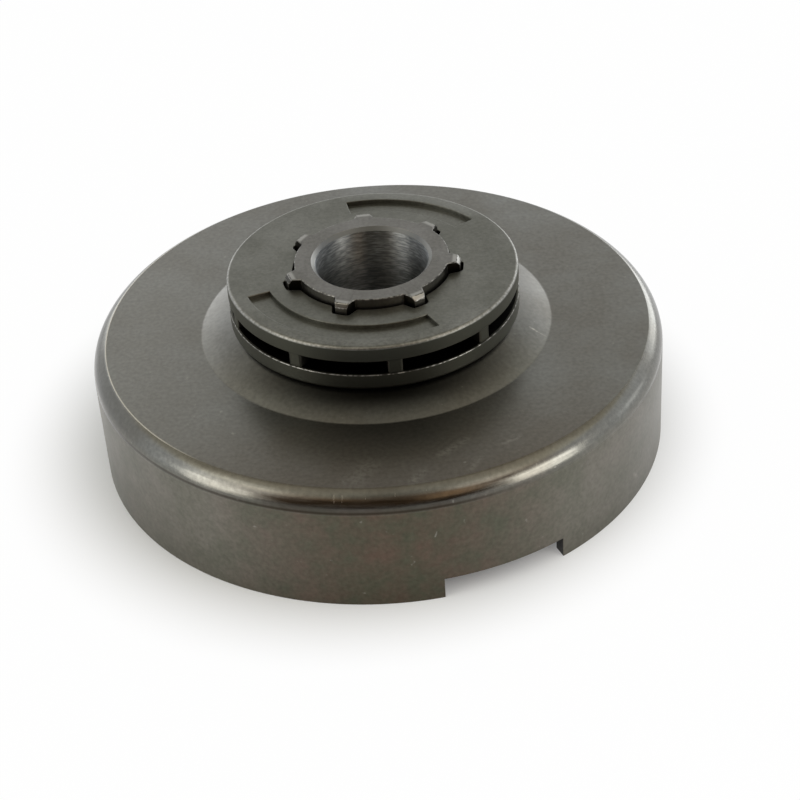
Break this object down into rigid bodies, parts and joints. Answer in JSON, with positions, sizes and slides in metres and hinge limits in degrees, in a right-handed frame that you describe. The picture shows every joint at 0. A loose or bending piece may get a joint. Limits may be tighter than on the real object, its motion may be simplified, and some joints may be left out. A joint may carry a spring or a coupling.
{
  "type": "chainsaw clutch drum with rim sprocket",
  "caption": "Pressed steel clutch drum with a splined hub and a loose pocketed rim sprocket that drives a saw chain.",
  "frame": {"origin": "on the spin axis, in the plane of the drum's open edge", "axes": "+Z along the spin axis, from the drum's open edge towards the sprocket"},
  "size_m": [0.0812, 0.0812, 0.0286],
  "materials": {
    "drum_steel": "bare pressed steel, darkened by heat treatment and a film of oil",
    "hub_steel": "turned steel, smooth on its end face, with tool marks in the bore",
    "sintered_steel": "fine-grained sintered steel with edges worn bright"
  },
  "bodies": {
    "drum": {"clutch_drum": "drum_steel", "splined_hub": "hub_steel"},
    "rim": {"rim_sprocket": "sintered_steel"}
  },
  "joints": [
    {"name": "rim_float", "type": "slide", "parent": "drum", "child": "rim", "axis": [0, 0, 1], "range_m": [0, 0.00135]}
  ]
}
